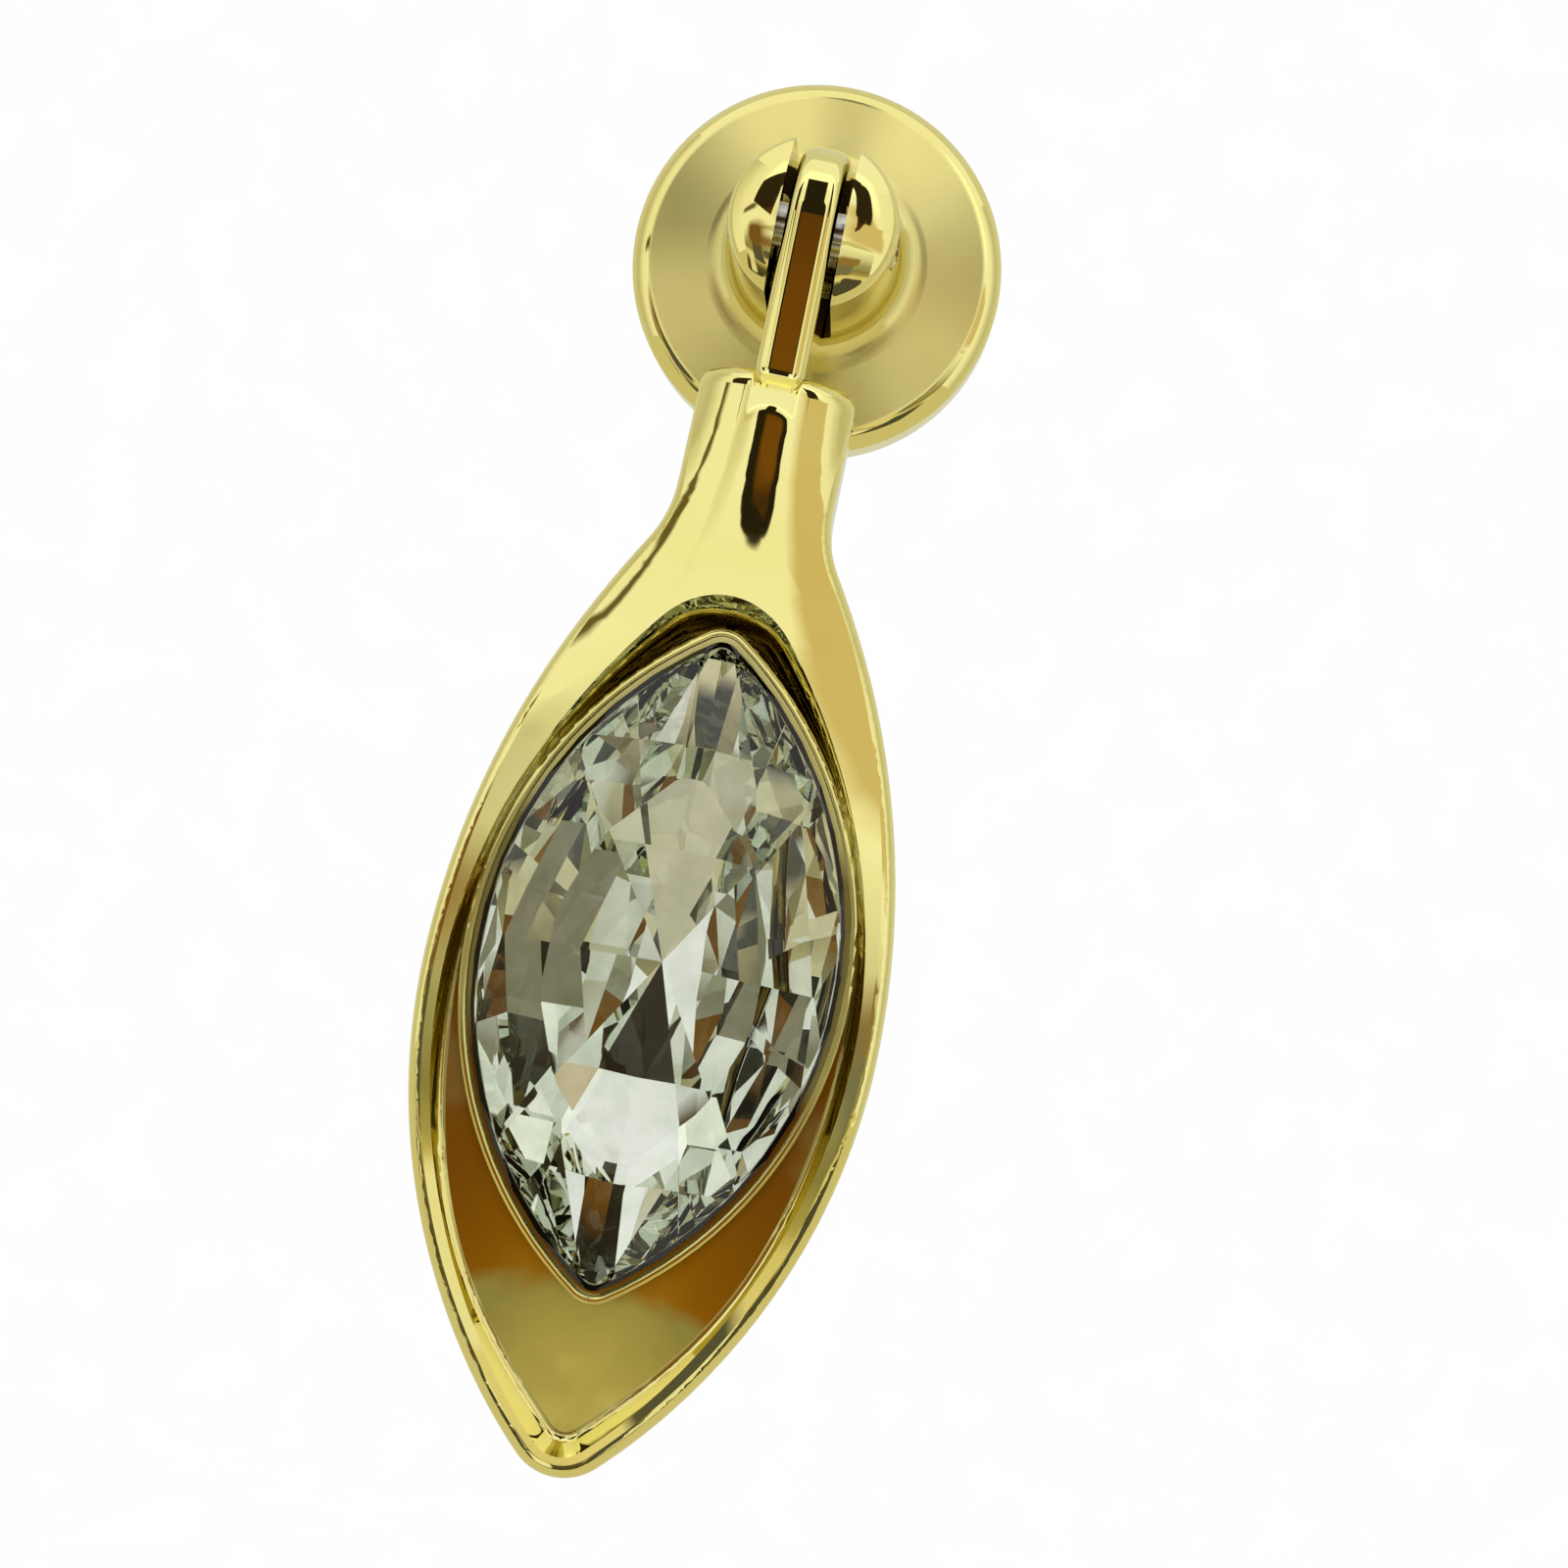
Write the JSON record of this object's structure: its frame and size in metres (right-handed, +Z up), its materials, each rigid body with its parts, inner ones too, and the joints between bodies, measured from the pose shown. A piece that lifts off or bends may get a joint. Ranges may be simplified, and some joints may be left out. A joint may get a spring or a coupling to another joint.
{
  "type": "drop pull",
  "caption": "Gold drop pull: a round rosette with a slotted post, and a swinging marquise pendant with a bezel-set faceted crystal in its dished face.",
  "frame": {"origin": "centre of the rosette's back face, at the mouth of its tapped hole, on the door's face", "axes": "+Z up, the pull stands out of the door towards -Y, and +X runs along the hinge pin"},
  "size_m": [0.0284, 0.0175, 0.0903],
  "materials": {
    "satin_gold": "satin",
    "polished_gold": "polished",
    "pin_steel": "plain",
    "crystal_glass": "polished"
  },
  "bodies": {
    "base": {"rosette": "satin_gold", "hinge_pin": "pin_steel"},
    "drop": {"pendant": "polished_gold", "crystal": "crystal_glass"}
  },
  "joints": [
    {"name": "swing", "type": "hinge", "parent": "base", "child": "drop", "pos_m": [0, -0.0125, 0], "axis": [-1, 0, 0], "range_deg": [-6, 186]}
  ]
}
